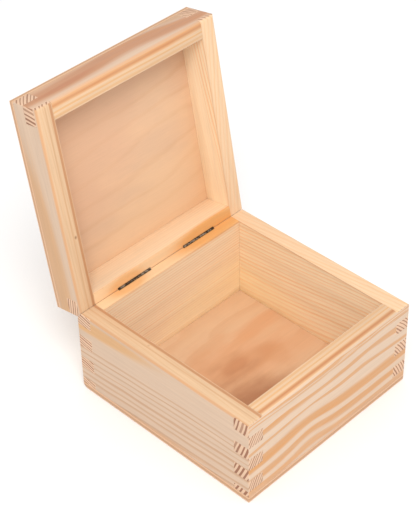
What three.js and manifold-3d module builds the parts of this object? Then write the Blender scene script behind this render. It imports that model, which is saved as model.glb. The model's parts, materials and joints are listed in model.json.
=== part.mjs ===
// A small square pine box with a hinged lid, for keeping toys in.
//
// The frame is millimetres with +Z up. The origin is the centre of the underside, +X runs to the
// right along the front wall and +Y runs to the back, where the hinges are. The lid stands open,
// leaning back on its bevelled edge.
//
// The walls are one finger-jointed pine carcass that was sawn into a base and a lid. A plywood
// sheet closes each of them. Two barbed slot hinges sit in saw kerfs inside the back wall, with
// their pins on the parting line, and the back edges are bevelled so that the lid can lean back.

import * as THREE from "three";
import { mergeVertices } from "three/addons/utils/BufferGeometryUtils.js";
import Module from "manifold-3d";

const wasm = await Module();
wasm.setup();

// Overall sizes
const SIDE = 160; // outside width and depth
const BASE_HEIGHT = 71;
const LID_HEIGHT = 27;
const WALL = 13;
const FLOOR_SHEET = 5; // plywood under the base
const TOP_SHEET = 4; // plywood over the lid
const RIM_GAP = 0.4; // between the two sawn rims when the box is shut

// Finger joints
const FINGER = 10; // height of one finger
const LID_FINGER_START = -7; // the first row of the lid begins this far below its rim
const GLUE_LINE = 0.1; // clearance between glued faces

// Edges
const SOFT_EDGE = 0.9; // sanded outer edges
const RIM_ROUND = 2.4; // routed outer edge of both rims
const HEEL_BEVEL = 3.5; // bevel under the back of the floor sheet
const ARC_STEPS = 5; // facets in each rounded edge

// Hinges
const OPEN_ANGLE = 100; // degrees that the lid turns, from shut to leaning on its bevel
const AXIS_INSET = 5; // from the back face to the pins
const HINGE_CENTRES = [-30.3, 33]; // along X
const HINGE_LENGTH = 30;
const KNUCKLES = 5; // the base leaf has the odd ones, the lid leaf the even ones
const KNUCKLE_GAP = 0.2;
const BARREL_RADIUS = 1.0;
const PIN_RADIUS = 0.5;
const RUNNING_GAP = 0.05; // radial, between a pin and its knuckles
const PIN_HEAD_RADIUS = 0.8;
const PIN_HEAD = 0.4; // thickness of the peened ends
const LEAF_THICKNESS = 0.6;
const LEAF_DEPTH = 14; // from the pin's axis to the leaf's buried edge
const BARBS = 4; // rows of teeth that grip the kerf
const BARB_HEIGHT = 0.15;
const KERF_WIDTH = 1.1;
const BARREL_CLEARANCE = 0.15; // wood to barrel, all round
const ROUND_STEPS = 24; // facets round a pin or a knuckle

const WELD = 0.0001; // corners of a solid closer together than this are one corner

// Sizes that follow from those
const HALF = SIDE / 2;
const AXIS_Y = HALF - AXIS_INSET;
const AXIS_Z = BASE_HEIGHT + RIM_GAP / 2;
const LID_RIM = BASE_HEIGHT + RIM_GAP;
const LID_TOP = LID_RIM + LID_HEIGHT;
const BEVEL_DROP = AXIS_INSET * Math.tan(THREE.MathUtils.degToRad(OPEN_ANGLE / 2));
const LEAF_START = BARREL_RADIUS + BARREL_CLEARANCE;
const NECK_OVERLAP = 1; // how far a knuckle's neck runs down into its leaf

const pine = new THREE.MeshStandardMaterial({ color: 0xe3b98a, roughness: 0.62, metalness: 0 });
const plywood = new THREE.MeshStandardMaterial({ color: 0xdfae82, roughness: 0.58, metalness: 0 });
const steel = new THREE.MeshStandardMaterial({ color: 0x8f8478, roughness: 0.38, metalness: 1 });

// ---- Solids ----

function toSolid(geometry) {
  const bare = geometry.clone();
  bare.deleteAttribute("normal");
  bare.deleteAttribute("uv");
  const merged = mergeVertices(bare, WELD);
  return new wasm.Manifold(new wasm.Mesh({
    numProp: 3,
    vertProperties: new Float32Array(merged.attributes.position.array),
    triVerts: new Uint32Array(merged.index.array),
  }));
}

function toMesh(name, solid, material) {
  const { vertProperties, triVerts } = solid.getMesh();
  const geometry = new THREE.BufferGeometry();
  geometry.setAttribute("position", new THREE.BufferAttribute(new Float32Array(vertProperties), 3));
  geometry.setIndex(new THREE.BufferAttribute(new Uint32Array(triVerts), 1));
  geometry.computeVertexNormals();
  const mesh = new THREE.Mesh(geometry, material);
  mesh.name = name;
  return mesh;
}

function block(x, y, z) {
  const geometry = new THREE.BoxGeometry(x[1] - x[0], y[1] - y[0], z[1] - z[0]);
  geometry.translate((x[0] + x[1]) / 2, (y[0] + y[1]) / 2, (z[0] + z[1]) / 2);
  return toSolid(geometry);
}

function extrude(shape, depth) {
  return new THREE.ExtrudeGeometry(shape, { depth, bevelEnabled: false, curveSegments: ARC_STEPS });
}

// An outline drawn in (x, y), extruded upwards between two heights.
function extrudeUp(shape, z) {
  const geometry = extrude(shape, z[1] - z[0]);
  geometry.translate(0, 0, z[0]);
  return toSolid(geometry);
}

// An outline drawn in (x, z), extruded towards the back between two values of y.
function extrudeBack(shape, y) {
  const geometry = extrude(shape, y[1] - y[0]);
  geometry.rotateX(Math.PI / 2);
  geometry.translate(0, y[1], 0);
  return toSolid(geometry);
}

// An outline drawn in (y, z), extruded to the right between two values of x.
function extrudeRight(shape, x) {
  const geometry = extrude(shape, x[1] - x[0]);
  geometry.rotateZ(Math.PI / 2);
  geometry.rotateY(Math.PI / 2);
  geometry.translate(x[0], 0, 0);
  return toSolid(geometry);
}

// ---- Outlines ----

// A closed outline whose corners are each rounded by their own radius, given anticlockwise.
function roundedOutline(corners) {
  const shape = new THREE.Shape();
  corners.forEach(({ at, radius }, index) => {
    const corner = new THREE.Vector2(...at);
    const before = new THREE.Vector2(...corners.at(index - 1).at);
    const after = new THREE.Vector2(...corners[(index + 1) % corners.length].at);
    const arrive = before.sub(corner).setLength(radius).add(corner);
    const leave = after.sub(corner).setLength(radius).add(corner);
    if (index === 0) shape.moveTo(arrive.x, arrive.y);
    else shape.lineTo(arrive.x, arrive.y);
    if (radius > 0) {
      const centre = arrive.clone().add(leave).sub(corner);
      const from = Math.atan2(arrive.y - centre.y, arrive.x - centre.x);
      const to = Math.atan2(leave.y - centre.y, leave.x - centre.x);
      shape.absarc(centre.x, centre.y, radius, from, to, false);
    }
  });
  return shape;
}

// The face of a board with fingers at both ends. Rows of fingers are counted from `start`, and the
// board has a finger wherever a row's number is odd or even as `parity` says.
function combOutline(low, high, start, parity) {
  const shoulder = HALF - WALL - GLUE_LINE;
  const ends = [];
  const rows = Math.ceil((high - start) / FINGER);
  for (let row = 0; row < rows; row += 1) {
    const owned = row % 2 === parity;
    const trim = owned ? GLUE_LINE / 2 : -GLUE_LINE / 2;
    const bottom = Math.max(low, start + row * FINGER + trim);
    const top = Math.min(high, start + (row + 1) * FINGER - trim);
    const reach = owned ? HALF : shoulder;
    if (top > bottom) ends.push([reach, bottom], [reach, top]);
  }
  const right = ends.map(([reach, height]) => new THREE.Vector2(reach, height));
  const left = ends.map(([reach, height]) => new THREE.Vector2(-reach, height)).reverse();
  return new THREE.Shape([...right, ...left]);
}

// ---- Envelopes: the outside of each half, with its edges already worked ----

function squareOutline() {
  return roundedOutline([
    { at: [-HALF, -HALF], radius: SOFT_EDGE },
    { at: [HALF, -HALF], radius: SOFT_EDGE },
    { at: [HALF, HALF], radius: SOFT_EDGE },
    { at: [-HALF, HALF], radius: SOFT_EDGE },
  ]);
}

function baseEnvelope() {
  const across = roundedOutline([
    { at: [-HALF, 0], radius: SOFT_EDGE },
    { at: [HALF, 0], radius: SOFT_EDGE },
    { at: [HALF, BASE_HEIGHT], radius: RIM_ROUND },
    { at: [-HALF, BASE_HEIGHT], radius: RIM_ROUND },
  ]);
  const along = roundedOutline([
    { at: [-HALF, 0], radius: SOFT_EDGE },
    { at: [HALF - HEEL_BEVEL, 0], radius: 0 },
    { at: [HALF, HEEL_BEVEL], radius: 0 },
    { at: [HALF, BASE_HEIGHT - BEVEL_DROP], radius: 0 },
    { at: [AXIS_Y, BASE_HEIGHT], radius: 0 },
    { at: [-HALF, BASE_HEIGHT], radius: RIM_ROUND },
  ]);
  return extrudeUp(squareOutline(), [0, BASE_HEIGHT])
    .intersect(extrudeBack(across, [-HALF, HALF]))
    .intersect(extrudeRight(along, [-HALF, HALF]));
}

function lidEnvelope() {
  const across = roundedOutline([
    { at: [-HALF, LID_RIM], radius: RIM_ROUND },
    { at: [HALF, LID_RIM], radius: RIM_ROUND },
    { at: [HALF, LID_TOP], radius: SOFT_EDGE },
    { at: [-HALF, LID_TOP], radius: SOFT_EDGE },
  ]);
  const along = roundedOutline([
    { at: [-HALF, LID_RIM], radius: RIM_ROUND },
    { at: [AXIS_Y, LID_RIM], radius: 0 },
    { at: [HALF, LID_RIM + BEVEL_DROP], radius: 0 },
    { at: [HALF, LID_TOP], radius: SOFT_EDGE },
    { at: [-HALF, LID_TOP], radius: SOFT_EDGE },
  ]);
  return extrudeUp(squareOutline(), [LID_RIM, LID_TOP])
    .intersect(extrudeBack(across, [-HALF, HALF]))
    .intersect(extrudeRight(along, [-HALF, HALF]));
}

// ---- Hinge seats: what is cut out of the wood for the two hinges ----

function hingeSeats() {
  const spare = PIN_HEAD + BARREL_CLEARANCE;
  const seats = HINGE_CENTRES.map((centre) => {
    const ends = [centre - HINGE_LENGTH / 2 - spare, centre + HINGE_LENGTH / 2 + spare];
    const reach = LEAF_DEPTH + BARREL_CLEARANCE;
    const kerf = block(
      ends,
      [AXIS_Y - KERF_WIDTH / 2, AXIS_Y + KERF_WIDTH / 2],
      [AXIS_Z - reach, AXIS_Z + reach],
    );
    return kerf.add(barrelBlank(LEAF_START, ends));
  });
  return seats[0].add(seats[1]);
}

// A plain round bar on the hinge axis.
function barrelBlank(radius, x) {
  const geometry = new THREE.CylinderGeometry(radius, radius, x[1] - x[0], ROUND_STEPS);
  geometry.rotateZ(Math.PI / 2);
  geometry.translate((x[0] + x[1]) / 2, AXIS_Y, AXIS_Z);
  return toSolid(geometry);
}

// ---- Wooden halves ----

// Four finger-jointed boards between two heights, as named solids.
function carcass(prefix, kind, z, fingerStart) {
  const longOutline = combOutline(z[0], z[1], fingerStart, kind.longParity);
  const sideOutline = combOutline(z[0], z[1], fingerStart, 1 - kind.longParity);
  return {
    [`${prefix}_front_${kind.board}`]: extrudeBack(longOutline, [-HALF, WALL - HALF]),
    [`${prefix}_back_${kind.board}`]: extrudeBack(longOutline, [HALF - WALL, HALF]),
    [`${prefix}_left_${kind.board}`]: extrudeRight(sideOutline, [-HALF, WALL - HALF]),
    [`${prefix}_right_${kind.board}`]: extrudeRight(sideOutline, [HALF - WALL, HALF]),
  };
}

function finishBoards(boards, envelope, seats) {
  return Object.entries(boards).map(([name, board]) => {
    const worked = board.intersect(envelope);
    return toMesh(name, name.includes("_back_") ? worked.subtract(seats) : worked, pine);
  });
}

function buildBase(seats) {
  const envelope = baseEnvelope();
  const heights = [FLOOR_SHEET + GLUE_LINE, BASE_HEIGHT];
  const boards = carcass("base", { board: "wall", longParity: 0 }, heights, 0);
  const floor = extrudeUp(squareOutline(), [0, FLOOR_SHEET]).intersect(envelope);
  const base = new THREE.Group();
  base.add(...finishBoards(boards, envelope, seats), toMesh("base_floor_panel", floor, plywood));
  return base;
}

function buildLid(seats) {
  const envelope = lidEnvelope();
  const underSheet = LID_TOP - TOP_SHEET;
  const heights = [LID_RIM, underSheet - GLUE_LINE];
  const boards = carcass("lid", { board: "rail", longParity: 1 }, heights, LID_RIM + LID_FINGER_START);
  const top = extrudeUp(squareOutline(), [underSheet, LID_TOP]).intersect(envelope);
  const lid = new THREE.Group();
  lid.add(...finishBoards(boards, envelope, seats), toMesh("lid_top_panel", top, plywood));
  return lid;
}

// ---- Hinges ----

// The edge-on profile of a leaf, with saw-tooth barbs up both faces. It hangs below the axis.
function leafOutline() {
  const half = LEAF_THICKNESS / 2;
  const pitch = (LEAF_DEPTH - LEAF_START) / (BARBS + 1);
  const face = [[half, -LEAF_DEPTH]];
  for (let barb = 1; barb <= BARBS; barb += 1) {
    const shoulder = -LEAF_DEPTH + barb * pitch;
    face.push([half, shoulder - pitch / 2], [half + BARB_HEIGHT, shoulder], [half, shoulder]);
  }
  face.push([half, -LEAF_START]);
  const mirrored = face.map(([y, z]) => [-y, z]).reverse();
  return new THREE.Shape([...face, ...mirrored].map(([y, z]) => new THREE.Vector2(y, z)));
}

function knuckleOutline() {
  const ring = new THREE.Shape();
  ring.absarc(0, 0, BARREL_RADIUS, 0, 2 * Math.PI, false);
  const bore = new THREE.Path();
  bore.absarc(0, 0, PIN_RADIUS + RUNNING_GAP, 0, 2 * Math.PI, true);
  ring.holes.push(bore);
  return ring;
}

function knuckle(x) {
  const geometry = new THREE.ExtrudeGeometry(knuckleOutline(), {
    depth: x[1] - x[0],
    bevelEnabled: false,
    curveSegments: ROUND_STEPS / 2,
  });
  geometry.rotateZ(Math.PI / 2);
  geometry.rotateY(Math.PI / 2);
  geometry.translate(x[0], 0, 0);
  const half = LEAF_THICKNESS / 2;
  const neckTop = -(BARREL_RADIUS + PIN_RADIUS) / 2;
  return toSolid(geometry).add(block(x, [-half, half], [-LEAF_START - NECK_OVERLAP, neckTop]));
}

// One leaf hanging below the axis, with every second knuckle of the barrel.
function leaf(firstKnuckle) {
  const end = HINGE_LENGTH / 2;
  const pitch = HINGE_LENGTH / KNUCKLES;
  let solid = extrudeRight(leafOutline(), [-end, end]);
  for (let index = firstKnuckle; index < KNUCKLES; index += 2) {
    const start = -end + index * pitch;
    solid = solid.add(knuckle([start + KNUCKLE_GAP / 2, start + pitch - KNUCKLE_GAP / 2]));
  }
  return solid;
}

// The pin, turned about X, with a flattened head at each end of the barrel.
function pin() {
  const barrelEnd = HINGE_LENGTH / 2 + RUNNING_GAP;
  const pinEnd = barrelEnd + PIN_HEAD;
  const half = [
    [PIN_RADIUS, barrelEnd],
    [PIN_HEAD_RADIUS, barrelEnd],
    [PIN_HEAD_RADIUS, barrelEnd + PIN_HEAD / 2],
    [PIN_RADIUS, pinEnd],
    [0, pinEnd],
  ];
  const mirrored = half.map(([radius, along]) => [radius, -along]).reverse();
  const profile = [...mirrored, ...half].map(([radius, along]) => new THREE.Vector2(radius, along));
  const geometry = new THREE.LatheGeometry(profile, ROUND_STEPS);
  geometry.rotateZ(-Math.PI / 2);
  return toSolid(geometry);
}

function addHinge(side, centre, base, lid) {
  const baseLeaf = leaf(0).translate([centre, AXIS_Y, AXIS_Z]);
  const lidLeaf = leaf(1).rotate([180, 0, 0]).translate([centre, AXIS_Y, AXIS_Z]);
  base.add(toMesh(`hinge_base_leaf_${side}`, baseLeaf, steel));
  base.add(toMesh(`hinge_pin_${side}`, pin().translate([centre, AXIS_Y, AXIS_Z]), steel));
  lid.add(toMesh(`hinge_lid_leaf_${side}`, lidLeaf, steel));
}

// ---- Assembly ----

const seats = hingeSeats();
const base = buildBase(seats);
const lid = buildLid(seats);
addHinge("left", HINGE_CENTRES[0], base, lid);
addHinge("right", HINGE_CENTRES[1], base, lid);

// The lid is drawn shut, then swung open about the hinge axis.
const swing = new THREE.Group();
lid.position.set(0, -AXIS_Y, -AXIS_Z);
swing.add(lid);
swing.position.set(0, AXIS_Y, AXIS_Z);
swing.rotation.x = -THREE.MathUtils.degToRad(OPEN_ANGLE);

const toyBox = new THREE.Group();
toyBox.add(base, swing);

export default toyBox;
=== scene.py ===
"""The looks of a small pine box with a hinged lid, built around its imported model.

Every board, sheet and hinge part is a copy of its solid with the arrises eased. Each material is
worked out inside the wood: a tree's rings are laid through the board in its own directions, so the
faces, the rims and the end grain of the finger joints all cut through the same rings. The base and
the lid were sawn from one carcass, so a wall and the rail above it share one figure.
"""

import json
import math
from dataclasses import dataclass

import bmesh
import bpy
from mathutils import Euler, Matrix, Vector


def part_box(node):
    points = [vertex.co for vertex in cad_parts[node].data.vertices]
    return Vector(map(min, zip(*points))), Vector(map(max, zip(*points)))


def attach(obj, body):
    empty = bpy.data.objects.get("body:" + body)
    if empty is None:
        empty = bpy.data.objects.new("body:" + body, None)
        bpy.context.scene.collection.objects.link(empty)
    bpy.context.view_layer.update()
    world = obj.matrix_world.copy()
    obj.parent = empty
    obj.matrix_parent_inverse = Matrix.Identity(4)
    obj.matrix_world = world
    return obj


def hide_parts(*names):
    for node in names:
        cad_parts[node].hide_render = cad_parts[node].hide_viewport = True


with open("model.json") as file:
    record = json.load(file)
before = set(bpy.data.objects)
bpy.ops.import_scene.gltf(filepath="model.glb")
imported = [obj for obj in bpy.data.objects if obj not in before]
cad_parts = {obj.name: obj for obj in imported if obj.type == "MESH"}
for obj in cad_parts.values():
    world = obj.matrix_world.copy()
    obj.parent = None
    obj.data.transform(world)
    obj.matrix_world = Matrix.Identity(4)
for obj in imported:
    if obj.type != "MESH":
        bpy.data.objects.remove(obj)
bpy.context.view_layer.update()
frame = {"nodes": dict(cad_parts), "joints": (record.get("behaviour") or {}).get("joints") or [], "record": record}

# ---- The frame's own facts ----

HINGE = frame["joints"][0]
PIVOT = Vector(HINGE["pos_m"])
SHUT_ANGLE = math.radians(HINGE["range_deg"][1])  # from the open rest pose to shut
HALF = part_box("base_floor_panel")[1].x  # half of the outside width
BODY = {node: body for body, nodes in frame["record"]["behaviour"]["bodies"].items() for node in nodes}

MM = 0.001
PER_MM = 1000.0  # metres to millimetres, the unit that every figure is worked out in

# ---- Shapes ----

ARRIS = 0.12 * MM  # easing on a board's arrises
STEEL_ARRIS = 0.05 * MM
ARRIS_SEGMENTS = 2
MERGE = 0.002 * MM  # corners closer than this are one corner
FLAT_ANGLE = math.radians(0.5)  # faces that turn less than this are one face
SHARP_ANGLE = math.radians(25)  # edges that turn more than this are eased and look sharp

# ---- Camera ----

AIM = Vector((0.0005, 0.0327, 0.0970))  # the point that the camera looks at
AZIMUTH = math.radians(45.06)  # from +X towards +Y, along the line of sight
DIP = math.radians(39.27)
ROLL = math.radians(-1.30)
DISTANCE = 1.052
LENS = 108.8  # for the sensor's long side of 36 mm


def srgb(red, green, blue):
    """A colour given as it looks on screen, from 0 to 255, as the linear colour that Blender keeps."""
    def linear(level):
        share = level / 255
        return share / 12.92 if share <= 0.04045 else ((share + 0.055) / 1.055) ** 2.4

    return (linear(red), linear(green), linear(blue), 1.0)


# ---- Wood in general ----

SPECULAR = 0.35
BOARD_RELIEF = 0.05 * MM  # height of the grain on a sanded board
SHEET_RELIEF = 0.03 * MM
CALM_FADE = 3.0  # millimetres over which a calm stretch sets in
CALM_LOSS = 0.85  # share of the dark wood that a calm stretch lacks

# ---- Node arithmetic ----


class Field:
    """A number that varies over a surface. Arithmetic on it adds Math nodes to its material."""

    def __init__(self, tree, socket):
        self.tree = tree
        self.socket = socket

    def __add__(self, other):
        return self.tree.math("ADD", self, other)

    def __radd__(self, other):
        return self.tree.math("ADD", other, self)

    def __sub__(self, other):
        return self.tree.math("SUBTRACT", self, other)

    def __rsub__(self, other):
        return self.tree.math("SUBTRACT", other, self)

    def __mul__(self, other):
        return self.tree.math("MULTIPLY", self, other)

    def __rmul__(self, other):
        return self.tree.math("MULTIPLY", other, self)

    def __truediv__(self, other):
        return self.tree.math("DIVIDE", self, other)

    def __pow__(self, other):
        return self.tree.math("POWER", self, other)

    def __abs__(self):
        return self.tree.math("ABSOLUTE", self)


class Tree:
    """A material's node tree, with a short method for each kind of node that the looks need."""

    def __init__(self, name):
        self.material = bpy.data.materials.new(name)
        self.material.use_nodes = True
        self.nodes = self.material.node_tree.nodes
        self.shader = self.nodes["Principled BSDF"]

    def feed(self, socket, value):
        if isinstance(value, Field):
            self.material.node_tree.links.new(value.socket, socket)
        else:
            socket.default_value = value

    def math(self, operation, *values):
        node = self.nodes.new("ShaderNodeMath")
        node.operation = operation
        for socket, value in zip(node.inputs, values):
            self.feed(socket, value)
        return Field(self, node.outputs[0])

    def step(self, value, low, high):
        """Rises smoothly from 0 where value is low to 1 where it is high."""
        node = self.nodes.new("ShaderNodeMapRange")
        node.interpolation_type = "SMOOTHSTEP"
        for name, given in (("Value", value), ("From Min", low), ("From Max", high)):
            self.feed(node.inputs[name], given)
        return Field(self, node.outputs[0])

    def vector(self, x, y, z):
        node = self.nodes.new("ShaderNodeCombineXYZ")
        for socket, value in zip(node.inputs, (x, y, z)):
            self.feed(socket, value)
        return Field(self, node.outputs[0])

    def noise(self, place, scales, seed, detail=2.0):
        """Smooth noise about 0, from -0.5 to 0.5, with its own number of waves per mm each way."""
        scaled = [axis * scale + seed for axis, scale in zip(place, scales)]
        node = self.nodes.new("ShaderNodeTexNoise")
        self.feed(node.inputs["Vector"], self.vector(*scaled))
        node.inputs["Scale"].default_value = 1.0
        node.inputs["Detail"].default_value = detail
        return Field(self, node.outputs["Fac"]) - 0.5

    def mix(self, share, first, second, blend="MIX"):
        """Colours mixed by share, or second laid over first by another blend."""
        node = self.nodes.new("ShaderNodeMix")
        node.data_type = "RGBA"
        node.blend_type = blend
        colours = [socket for socket in node.inputs if socket.type == "RGBA"]
        self.feed(node.inputs["Factor"], share)
        self.feed(colours[0], first)
        self.feed(colours[1], second)
        return Field(self, next(socket for socket in node.outputs if socket.type == "RGBA"))

    def shaded(self, colour, level):
        """A colour made darker or lighter by a level about 1."""
        node = self.nodes.new("ShaderNodeCombineColor")
        for socket in node.inputs:
            self.feed(socket, level)
        return self.mix(1.0, colour, Field(self, node.outputs[0]), "MULTIPLY")

    def place(self, body):
        """The point in millimetres in the row frame, with the lid turned to where it is shut."""
        coordinates = self.nodes.new("ShaderNodeTexCoord")
        mapping = self.nodes.new("ShaderNodeMapping")
        mapping.inputs["Scale"].default_value = (PER_MM, PER_MM, PER_MM)
        if body == "lid":
            turn = Euler((SHUT_ANGLE, 0, 0))
            mapping.inputs["Rotation"].default_value = turn
            mapping.inputs["Location"].default_value = (PIVOT - turn.to_matrix() @ PIVOT) * PER_MM
        self.feed(mapping.inputs["Vector"], Field(self, coordinates.outputs["Object"]))
        parts = self.nodes.new("ShaderNodeSeparateXYZ")
        self.feed(parts.inputs[0], Field(self, mapping.outputs[0]))
        return [Field(self, socket) for socket in parts.outputs]

    def facing(self, body, direction):
        """How squarely the surface faces along a direction of the shut box, from 0 to 1."""
        turn = Matrix.Rotation(-SHUT_ANGLE, 3, "X") if body == "lid" else Matrix.Identity(3)
        coordinates = self.nodes.new("ShaderNodeTexCoord")
        dot = self.nodes.new("ShaderNodeVectorMath")
        dot.operation = "DOT_PRODUCT"
        self.feed(dot.inputs[0], Field(self, coordinates.outputs["Normal"]))
        dot.inputs[1].default_value = turn @ Vector(direction)
        return abs(Field(self, dot.outputs["Value"]))

    def bump(self, height, distance):
        node = self.nodes.new("ShaderNodeBump")
        node.inputs["Distance"].default_value = distance
        self.feed(node.inputs["Height"], height)
        self.feed(self.shader.inputs["Normal"], Field(self, node.outputs[0]))

    def finish(self, colour, roughness, specular):
        self.feed(self.shader.inputs["Base Color"], colour)
        self.feed(self.shader.inputs["Roughness"], roughness)
        self.shader.inputs["Specular IOR Level"].default_value = specular
        return self.material


# ---- Pine ----


@dataclass
class Crest:
    """A swell in the trunk that lifts the figure: where it is, how far it reaches and how high."""

    along: float
    across: float
    reach_along: float
    reach_across: float
    height: float


@dataclass
class StainOrPaintedShading:
    """A patch of another colour fading out all round: a real stain such as resin or heartwood, or painted light
    and shade.
    """

    centre: tuple  # along, across and through a board, or x, y and z of a sheet on the shut box
    reach: tuple
    colour: tuple
    strength: float


@dataclass
class DarkYear:
    """A band of dark wood where a broad year meets the board's outer face."""

    height: float
    half_width: float
    strength: float


@dataclass
class Board:
    """How one board was cut from its tree. Lengths are millimetres.

    Along is the direction of the grain, across is up the box from its underside, and through is
    measured from the board's outer face inwards.
    """

    grain: str  # the row axis that the grain runs along
    outer: float  # -1 or 1: which end of the other axis the outer face is on
    pith: tuple  # the tree's centre, across and through
    ring: float  # a year's growth
    lean: float  # how much the figure climbs for each millimetre along
    waver: float  # how far the rings wander
    late: tuple  # where in a year the dark wood begins, is full and starts to end
    early_colour: tuple
    late_colour: tuple
    contrast: float
    end_contrast: float  # how boldly the rings show on the end grain
    seed: float
    calm: tuple = (900.0, 900.0)  # a stretch across with little dark wood; by default above the box
    calm_skin: float = 0.0  # if given, the calm stretch reaches only this far in
    dark_years: tuple = ()  # if given, they take the place of the even rings under the outer face
    crests: tuple = ()
    stains_and_painted_shading: tuple = ()
    rim_stains: tuple = ()  # stains that keep straight along the rims where lid and base meet


def through_depth(board, x, y):
    side = y if board.grain == "X" else x
    return HALF * PER_MM + side if board.outer < 0 else HALF * PER_MM - side


def bell(tree, *offsets):
    """1 in the middle, falling away to about a third where the offsets reach 1."""
    total = offsets[0] * offsets[0]
    for offset in offsets[1:]:
        total = total + offset * offset
    return tree.math("EXPONENT", total * -1.0)


def with_stains_and_painted_shading(tree, colour, stains_and_painted_shading, place, raggedness):
    """A colour with each stain and each patch of painted light and shade laid over it, ragged along its edge."""
    for mark in stains_and_painted_shading:
        axes = zip(place, mark.centre, mark.reach)
        offsets = [(here - middle) / reach for here, middle, reach in axes]
        patch = tree.step(bell(tree, *offsets) + raggedness, 0.15, 0.75)
        colour = tree.mix(patch * mark.strength, colour, mark.colour)
    return colour


def lifted_across(tree, board, along, across):
    """Height up the board, measured along its own wavy figure."""
    lifted = across - along * board.lean
    for crest in board.crests:
        from_crest = (along - crest.along) / crest.reach_along
        above_crest = (across - crest.across) / crest.reach_across
        swell = bell(tree, from_crest, above_crest)
        lifted = lifted - swell * crest.height
    return lifted


def pith_distance(tree, board, along, lifted, through):
    """Distance from the tree's centre, with the wander of a real trunk."""
    centre_across, centre_through = board.pith
    distance = ((lifted - centre_across) ** 2.0 + (through - centre_through) ** 2.0) ** 0.5
    place = (along, lifted, through)
    wander = tree.noise(place, (0.011, 0.035, 0.05), board.seed)
    ripple = tree.noise(place, (0.04, 0.16, 0.2), board.seed + 7.3)
    return distance + wander * (4 * board.waver) + ripple * board.waver


def late_wood(tree, years, late):
    """Dark wood, from 0 to 1, at its place in each year."""
    season = tree.math("FRACT", years)
    begins, full, ends = late
    return tree.step(season, begins, full) * (1.0 - tree.step(season, ends, 1.0))


def even_rings(tree, board, distance):
    """Dark wood, from 0 to 1, for rings of much the same width."""
    years = distance / board.ring
    years = years + tree.noise((years, 0.0, 0.0), (0.9, 1.0, 1.0), board.seed + 3.1, 1.0) * 0.7
    year = tree.math("FLOOR", years)
    vigour = tree.noise((year, 0.0, 0.0), (1.7, 1.0, 1.0), board.seed + 11.7, 0.0)
    return late_wood(tree, years, board.late) * (0.8 + vigour)


def broad_rings(tree, board, distance, inner_rings, place):
    """Dark wood, from 0 to 1, where the outer face cuts each of the board's broad dark years."""
    centre_across, centre_through = board.pith
    late = 0.0
    distance = distance + tree.noise(place, (0.02, 0.6, 0.6), board.seed + 2.2) * 1.2
    for year in board.dark_years:
        rise = year.height - centre_across
        radius = math.hypot(rise, centre_through)
        half = year.half_width * abs(rise) / radius
        off_centre = abs(distance - radius)
        band = (1.0 - tree.step(off_centre, half * 0.55, half * 1.35)) * year.strength
        late = tree.math("MAXIMUM", band, late)
    top_year = max(board.dark_years, key=lambda year: year.height)
    inner = math.hypot(top_year.height - centre_across, centre_through) - board.ring / 2
    deep = 1.0 - tree.step(distance, inner - 0.5, inner)
    return tree.math("MAXIMUM", late, inner_rings * deep)


def calm_stretch(tree, board, lifted, through):
    """1 in the part of a board with little dark wood, and 0 elsewhere."""
    low, high = board.calm
    calm = tree.step(lifted, low - CALM_FADE, low) * (1.0 - tree.step(lifted, high, high + CALM_FADE))
    if board.calm_skin:
        calm = calm * (1.0 - tree.step(through, board.calm_skin - 1.0, board.calm_skin))
    return calm


def pine(node, board):
    """Planed and sanded softwood, with its end grain where the fingers come through."""
    body = BODY[node]
    tree = Tree(node + "_pine")
    x, y, across = tree.place(body)
    along = x if board.grain == "X" else y
    through = through_depth(board, x, y)
    place = (along, across, through)

    lifted = lifted_across(tree, board, along, across)
    distance = pith_distance(tree, board, along, lifted, through)
    late = even_rings(tree, board, distance)
    ring_edge = tree.step(late, 0.20, 0.65) * board.end_contrast
    if board.dark_years:
        late = broad_rings(tree, board, distance, late, (along, lifted, through))
    calm = calm_stretch(tree, board, lifted, through)

    fibre = tree.noise(place, (0.035, 1.1, 1.1), board.seed, 4.0)
    streak = tree.noise(place, (0.008, 0.30, 0.35), board.seed + 5.9, 2.0)
    figure = late * (1.0 - calm * CALM_LOSS) * board.contrast * (1.0 + streak * 0.9)
    face = tree.mix(figure, board.early_colour, board.late_colour)
    face = with_stains_and_painted_shading(tree, face, board.stains_and_painted_shading, (along, lifted, through), streak * 0.3 + fibre * 0.25)
    face = with_stains_and_painted_shading(tree, face, board.rim_stains, place, fibre * 0.3)
    face = tree.shaded(face, 1.0 + fibre * 0.24 + streak * 0.12)
    duct = tree.step(tree.noise(place, (0.16, 3.2, 3.2), board.seed + 9.1, 1.0), 0.20, 0.27)
    face = tree.mix(duct * 0.18, face, DUCT_BROWN)

    speckle = tree.noise(place, (0.4, 4.5, 4.5), board.seed + 4.4, 3.0)
    cut = tree.mix(ring_edge, END_CREAM, END_BROWN)
    cut = tree.shaded(cut, 1.0 + speckle * 0.22)
    direction = (1, 0, 0) if board.grain == "X" else (0, 1, 0)
    end_grain = tree.step(tree.facing(body, direction), 0.62, 0.88)
    colour = tree.mix(end_grain, face, cut)

    tree.bump(late * 0.35 + fibre * 1.2 + speckle * end_grain * 0.5, BOARD_RELIEF)
    return tree.finish(colour, 0.60 - late * 0.10 + fibre * 0.18 + end_grain * 0.12, SPECULAR)


# ---- Plywood ----

PLIES = 3


@dataclass
class Sheet:
    """A plywood sheet: which way its face veneer runs and how its rotary-cut figure lies."""

    spacing: float  # from one band of the figure to the next
    lean: float  # how much the bands climb in y for each millimetre in x
    wander: float  # how far the bands stray
    early_colour: tuple
    late_colour: tuple
    blush_colour: tuple  # broad soft patches
    blush: float  # how boldly the patches show
    contrast: float
    late: tuple  # where in a band the dark figure begins, is full and starts to end
    seed: float
    stains_and_painted_shading: tuple = ()


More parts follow.
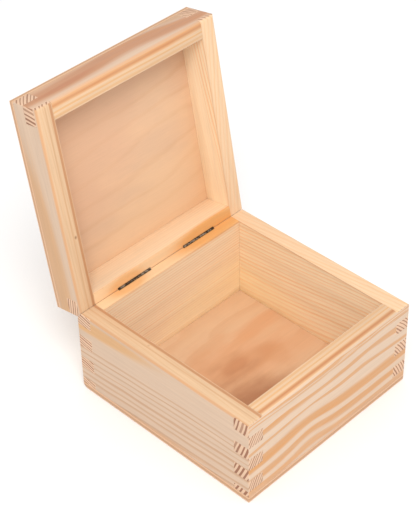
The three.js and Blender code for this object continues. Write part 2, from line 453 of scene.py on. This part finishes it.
def plywood(node, sheet):
    """A smooth rotary-cut face veneer, with the plies showing on the sheet's edges."""
    body = BODY[node]
    tree = Tree(node + "_plywood")
    x, y, z = tree.place(body)
    place = (x, y, z)

    wander = tree.noise(place, (0.010, 0.022, 0.01), sheet.seed, 2.0)
    ripple = tree.noise(place, (0.03, 0.09, 0.01), sheet.seed + 6.1, 3.0)
    bands = (y - x * sheet.lean + wander * sheet.wander + ripple * (0.2 * sheet.wander)) / sheet.spacing
    late = late_wood(tree, bands, sheet.late)
    patch = tree.noise(place, (0.014, 0.020, 0.01), sheet.seed + 2.9, 4.0)
    fibre = tree.noise(place, (0.05, 1.3, 0.3), sheet.seed + 1.7, 4.0)
    face = tree.mix(late * sheet.contrast, sheet.early_colour, sheet.late_colour)
    face = tree.mix(tree.step(patch, 0.0, 0.24) * sheet.blush, face, sheet.blush_colour)
    face = with_stains_and_painted_shading(tree, face, sheet.stains_and_painted_shading, place, patch * 0.8 + ripple * 0.5)
    face = tree.shaded(face, 1.0 + fibre * 0.12)

    low, high = sheet_levels(node)
    ply = (z - low) / ((high - low) / PLIES)
    level = tree.math("FRACT", ply)
    glue = 1.0 - tree.step(abs(level - 0.5), 0.40, 0.48) * 0.35
    crossing = abs(tree.math("FLOOR", ply) - (PLIES - 1) / 2)
    crossing = 1.0 - tree.math("MINIMUM", crossing, 1.0)
    grit = tree.noise(place, (2.2, 2.2, 3.0), sheet.seed + 8.2, 3.0)
    edge = tree.mix(crossing, PLY_LIGHT, PLY_DARK)
    edge = tree.shaded(edge, glue + grit * 0.2)
    flat = tree.step(tree.facing(body, (0, 0, 1)), 0.55, 0.85)
    colour = tree.mix(flat, edge, face)

    tree.bump(fibre + grit * (1.0 - flat), SHEET_RELIEF)
    return tree.finish(colour, 0.56 + fibre * 0.15, SPECULAR)


def sheet_levels(node):
    """The heights in millimetres of a sheet's two faces on the shut box."""
    if BODY[node] == "base":
        low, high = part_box(node)
        return low.z * PER_MM, high.z * PER_MM
    turn = Matrix.Rotation(SHUT_ANGLE, 3, "X")
    corners = [turn @ (vertex.co - PIVOT) + PIVOT for vertex in frame["nodes"][node].data.vertices]
    return min(corner.z for corner in corners) * PER_MM, max(corner.z for corner in corners) * PER_MM


# ---- Steel ----

STEEL_BROWN = srgb(78, 64, 52)
STEEL_BRIGHT = srgb(160, 148, 134)
STEEL_RELIEF = 0.03 * MM


def hinge_steel(node, seed):
    """Rolled steel strip with a dull brown oxide, rubbed brighter where it stands proud."""
    tree = Tree(node + "_steel")
    place = tree.place(BODY[node])
    cloud = tree.noise(place, (0.5, 0.5, 0.5), seed, 4.0)
    drawn = tree.noise(place, (0.3, 6.0, 6.0), seed + 3.7, 3.0)
    rubbed = tree.step(cloud + drawn * 0.3, -0.05, 0.12)
    colour = tree.mix(rubbed, STEEL_BROWN, STEEL_BRIGHT)
    tree.shader.inputs["Metallic"].default_value = 1.0
    tree.bump(drawn * 0.6 + cloud, STEEL_RELIEF)
    return tree.finish(colour, 0.42 - rubbed * 0.14 + drawn * 0.1, 0.5)


# ---- Pieces ----


def eased_copy(node, name, arris):
    """A copy of a solid whose sharp edges are eased by a small rounded chamfer."""
    mesh = frame["nodes"][node].data.copy()
    mesh.name = name
    work = bmesh.new()
    work.from_mesh(mesh)
    bmesh.ops.remove_doubles(work, verts=work.verts, dist=MERGE)
    bmesh.ops.dissolve_limit(work, angle_limit=FLAT_ANGLE, verts=work.verts, edges=work.edges)
    sharp = [edge for edge in work.edges if edge.is_manifold and edge.calc_face_angle() > SHARP_ANGLE]
    bmesh.ops.bevel(
        work,
        geom=sharp,
        offset=arris,
        offset_type="OFFSET",
        segments=ARRIS_SEGMENTS,
        profile=0.5,
        affect="EDGES",
        clamp_overlap=True,
    )
    # Where two eased edges meet, the bevel leaves strips with no width, which this closes.
    bmesh.ops.remove_doubles(work, verts=work.verts, dist=MERGE)
    bmesh.ops.triangulate(work, faces=work.faces)
    work.to_mesh(mesh)
    work.free()
    mesh.polygons.foreach_set("use_smooth", [True] * len(mesh.polygons))
    mesh.set_sharp_from_angle(angle=SHARP_ANGLE)
    return mesh


def add_piece(node, suffix, material, arris):
    name = f"{node}_{suffix}"
    mesh = eased_copy(node, name, arris)
    mesh.materials.clear()
    mesh.materials.append(material)
    piece = bpy.data.objects.new(name, mesh)
    bpy.context.scene.collection.objects.link(piece)
    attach(piece, BODY[node])
    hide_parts(node)


# ---- The tree each board came from ----

END_CREAM = srgb(226, 190, 160)
END_BROWN = srgb(140, 84, 56)
DUCT_BROWN = srgb(178, 122, 80)
PLY_LIGHT = srgb(222, 180, 144)
PLY_DARK = srgb(198, 154, 120)

FRONT = Board(
    grain="X",
    outer=-1,
    pith=(120, 226),
    ring=3.3,
    lean=0.0,
    waver=0.40,
    late=(0.35, 0.50, 0.86),
    early_colour=srgb(220, 193, 168),
    late_colour=srgb(212, 154, 100),
    contrast=0.95,
    end_contrast=0.85,
    seed=1.0,
    dark_years=(
        DarkYear(7.3, 3.0, 0.75),
        DarkYear(17.3, 3.2, 0.9),
        DarkYear(29.5, 4.2, 1.0),
        DarkYear(43.5, 1.5, 0.85),
        DarkYear(54.5, 2.4, 0.9),
        DarkYear(66.5, 0.9, 0.8),
        DarkYear(69.6, 0.9, 0.8),
    ),
    crests=(
        Crest(-20, 16, 20, 22, 4.0),
        Crest(-32, 38, 34, 15, 3.6),
        Crest(34, 45, 26, 9, 2.5),
        Crest(-20, 66, 55, 6, -2.8),
        Crest(46, 57, 26, 6, 2.8),
        Crest(-42, 57, 18, 5, 1.8),
        Crest(10, 86, 36, 12, 5.0),
        Crest(80, 86, 34, 12, -6.0),
    ),
    stains_and_painted_shading=(
        StainOrPaintedShading((0, 84, 0), (150, 9, 9), srgb(196, 140, 104), 0.9),
        StainOrPaintedShading((0, 98, 0), (90, 5, 9), srgb(206, 168, 134), 0.7),
        StainOrPaintedShading((-46, 82, 0), (30, 3, 9), srgb(190, 128, 94), 0.6),
        StainOrPaintedShading((30, 88, 0), (34, 2.5, 9), srgb(206, 148, 106), 0.6),
    ),
    rim_stains=(
        StainOrPaintedShading((0, 71.2, 7), (400, 1.4, 10), srgb(236, 192, 140), 0.45),
        StainOrPaintedShading((0, 73, 3.0), (400, 2.0, 2.9), srgb(216, 146, 88), 0.9),
        StainOrPaintedShading((0, 69.5, 3.4), (400, 2.2, 1.9), srgb(196, 126, 76), 0.9),
    ),
)
LEFT = Board(
    grain="Y",
    outer=-1,
    pith=(-90, 223),
    ring=2.35,
    lean=-0.06,
    waver=0.45,
    late=(0.50, 0.75, 0.90),
    early_colour=srgb(212, 184, 159),
    late_colour=srgb(192, 148, 112),
    contrast=0.8,
    end_contrast=0.75,
    seed=21.0,
    calm=(48.0, 104.0),
    calm_skin=2.0,
    stains_and_painted_shading=(
        StainOrPaintedShading((70, 66, 0), (66, 6, 5), srgb(214, 164, 110), 0.85),
        StainOrPaintedShading((30, 92, 0), (85, 11, 7), srgb(206, 160, 116), 0.85),
        StainOrPaintedShading((30, 6, 0), (80, 1.6, 5), srgb(208, 156, 108), 0.6),
    ),
    rim_stains=(
        StainOrPaintedShading((0, 71.2, 8), (400, 2.4, 12), srgb(230, 192, 150), 0.75),
        StainOrPaintedShading((0, 71.2, 11.6), (400, 3, 1.1), srgb(192, 132, 88), 0.8),
        StainOrPaintedShading((0, 71.2, 7.2), (400, 2.4, 0.6), srgb(210, 160, 116), 0.5),
        StainOrPaintedShading((0, 71.2, 0), (400, 2.2, 1.4), srgb(208, 148, 98), 0.7),
        StainOrPaintedShading((19, 72.4, 9), (1.6, 1.3, 1.3), srgb(140, 92, 62), 0.95),
    ),
)
BACK = Board(
    grain="X",
    outer=1,
    pith=(-259, -54),
    ring=2.3,
    lean=0.01,
    waver=0.5,
    late=(0.45, 0.78, 0.90),
    early_colour=srgb(255, 231, 198),
    late_colour=srgb(242, 193, 142),
    contrast=0.8,
    end_contrast=0.9,
    seed=41.0,
    stains_and_painted_shading=(
        # Painted light: the inner face paler low down towards the back-right corner, where the lamp falls.
        StainOrPaintedShading((44, 12, 13), (60, 30, 9), srgb(255, 236, 190), 0.4),
        # Painted shade: the lid's part of the back board darker, standing for the shade it lies in.
        StainOrPaintedShading((0, 90, 10), (400, 22, 16), srgb(236, 206, 172), 0.7),
    ),
    rim_stains=(
        StainOrPaintedShading((0, 71.2, 6), (400, 1.8, 16), srgb(240, 196, 148), 0.8),
        StainOrPaintedShading((46, 71.6, 8), (40, 3.4, 8), srgb(232, 164, 90), 0.85),
        StainOrPaintedShading((-38, 71.6, 7), (18, 3.4, 7), srgb(232, 168, 100), 0.7),
    ),
)
RIGHT = Board(
    grain="Y",
    outer=1,
    pith=(-64, 131),
    ring=2.3,
    lean=-0.10,
    waver=0.6,
    late=(0.42, 0.74, 0.90),
    early_colour=srgb(255, 233, 199),
    late_colour=srgb(248, 200, 145),
    contrast=0.7,
    end_contrast=0.75,
    seed=61.0,
    calm=(80.0, 106.0),
    crests=(
        Crest(-70, 30, 70, 60, 5.0),
    ),
    stains_and_painted_shading=(
        # Painted light: the inner face paler low down towards the back-right corner, where the lamp falls.
        StainOrPaintedShading((62, 10, 13), (60, 30, 9), srgb(255, 232, 180), 0.4),
    ),
    rim_stains=(
        StainOrPaintedShading((0, 71.2, 6), (400, 1.8, 16), srgb(226, 180, 138), 0.6),
    ),
)
FLOOR_SHEET = Sheet(
    spacing=24.0,
    lean=0.1,
    wander=60.0,
    early_colour=srgb(226, 190, 155),
    late_colour=srgb(211, 162, 122),
    blush_colour=srgb(214, 156, 114),
    blush=0.4,
    contrast=0.3,
    late=(0.30, 0.85, 0.90),
    seed=81.0,
    stains_and_painted_shading=(
        StainOrPaintedShading((10, 6, 5), (60, 30, 4), srgb(226, 172, 130), 0.6),
        StainOrPaintedShading((16, 8, 5), (34, 10, 4), srgb(208, 148, 106), 0.5),
        StainOrPaintedShading((4, 12, 5), (14, 5, 4), srgb(194, 130, 88), 0.4),
        StainOrPaintedShading((34, 0, 5), (12, 16, 4), srgb(210, 152, 110), 0.3),
        StainOrPaintedShading((50, 30, 5), (30, 9, 4), srgb(224, 166, 122), 0.5),
        # Painted shadow: the floor darker at its front-left, where the front and left walls shade it.
        StainOrPaintedShading((-34, -44, 5), (70, 50, 4), srgb(168, 112, 78), 0.8),
    ),
)
TOP_SHEET = Sheet(
    spacing=17.0,
    lean=-0.10,
    wander=26.0,
    early_colour=srgb(221, 182, 149),
    late_colour=srgb(207, 159, 119),
    blush_colour=srgb(233, 196, 157),
    blush=0.45,
    contrast=0.32,
    late=(0.62, 0.84, 0.88),
    seed=95.0,
    stains_and_painted_shading=(
        StainOrPaintedShading((-40, -10, 94), (60, 60, 4), srgb(224, 178, 144), 0.6),
        StainOrPaintedShading((44, 56, 94), (90, 60, 4), srgb(246, 206, 162), 0.45),
    ),
)

BOARDS = {
    "base_front_wall": FRONT,
    "lid_front_rail": FRONT,
    "base_left_wall": LEFT,
    "lid_left_rail": LEFT,
    "base_back_wall": BACK,
    "lid_back_rail": BACK,
    "base_right_wall": RIGHT,
    "lid_right_rail": RIGHT,
}
SHEETS = {"base_floor_panel": FLOOR_SHEET, "lid_top_panel": TOP_SHEET}


def build_box():
    for node, board in BOARDS.items():
        add_piece(node, "wood", pine(node, board), ARRIS)
    for node, sheet in SHEETS.items():
        add_piece(node, "veneer", plywood(node, sheet), ARRIS)
    hinge_nodes = sorted(node for node in frame["nodes"] if node.startswith("hinge_"))
    for index, node in enumerate(hinge_nodes):
        add_piece(node, "steel", hinge_steel(node, float(index)), STEEL_ARRIS)


# ---- Stage ----

FLOOR_HALF = 4.0  # metres, so that its edge stays out of sight
FLOOR_DROP = 0.1 * MM  # keeps the floor clear of the box's underside
PAPER = srgb(250, 250, 250)
PAPER_LIGHT = srgb(252, 252, 252)
SURROUNDINGS = 0.82  # strength of the plain white surroundings
KEY_PLACE = (-0.85, -0.90, 1.90)
KEY_SIZE = 1.0
KEY_WATTS = 23.5
KEY_TINT = (1.0, 0.99, 0.97)


def add_floor():
    corners = [(x * FLOOR_HALF, y * FLOOR_HALF, 0) for x, y in ((-1, -1), (1, -1), (1, 1), (-1, 1))]
    mesh = bpy.data.meshes.new("floor")
    mesh.from_pydata(corners, [], [(0, 1, 2, 3)])
    tree = Tree("floor_paper")
    grain = tree.noise(tree.place("base"), (0.02, 0.02, 0.02), 5.0, 3.0)
    colour = tree.mix(grain + 0.5, PAPER, PAPER_LIGHT)
    mesh.materials.append(tree.finish(colour, 0.8 + grain * 0.05, 0.2))
    floor = bpy.data.objects.new("floor", mesh)
    floor.location.z = -FLOOR_DROP
    bpy.context.scene.collection.objects.link(floor)


def add_softbox():
    """One large soft lamp, high up on the camera's side."""
    lamp = bpy.data.lights.new("key", "AREA")
    lamp.shape = "DISK"
    lamp.size = KEY_SIZE
    lamp.energy = KEY_WATTS
    lamp.color = KEY_TINT
    holder = bpy.data.objects.new("key", lamp)
    holder.location = KEY_PLACE
    holder.rotation_euler = (AIM - Vector(KEY_PLACE)).to_track_quat("-Z", "Y").to_euler()
    bpy.context.scene.collection.objects.link(holder)


def add_surroundings():
    world = bpy.data.worlds.new("studio")
    world.use_nodes = True
    background = world.node_tree.nodes["Background"]
    background.inputs["Color"].default_value = (1.0, 1.0, 1.0, 1.0)
    background.inputs["Strength"].default_value = SURROUNDINGS
    bpy.context.scene.world = world


def add_camera():
    sight = Vector((
        math.cos(DIP) * math.cos(AZIMUTH),
        math.cos(DIP) * math.sin(AZIMUTH),
        -math.sin(DIP),
    ))
    level = sight.to_track_quat("-Z", "Y").to_matrix()
    lens = bpy.data.cameras.new("camera")
    lens.lens = LENS
    camera = bpy.data.objects.new("camera", lens)
    camera.matrix_world = (
        Matrix.Translation(AIM - sight * DISTANCE)
        @ (level @ Matrix.Rotation(ROLL, 3, "Z")).to_4x4()
    )
    bpy.context.scene.collection.objects.link(camera)
    bpy.context.scene.camera = camera


add_camera()
build_box()
add_floor()
add_surroundings()
add_softbox()
bpy.context.scene.view_settings.view_transform = "Standard"
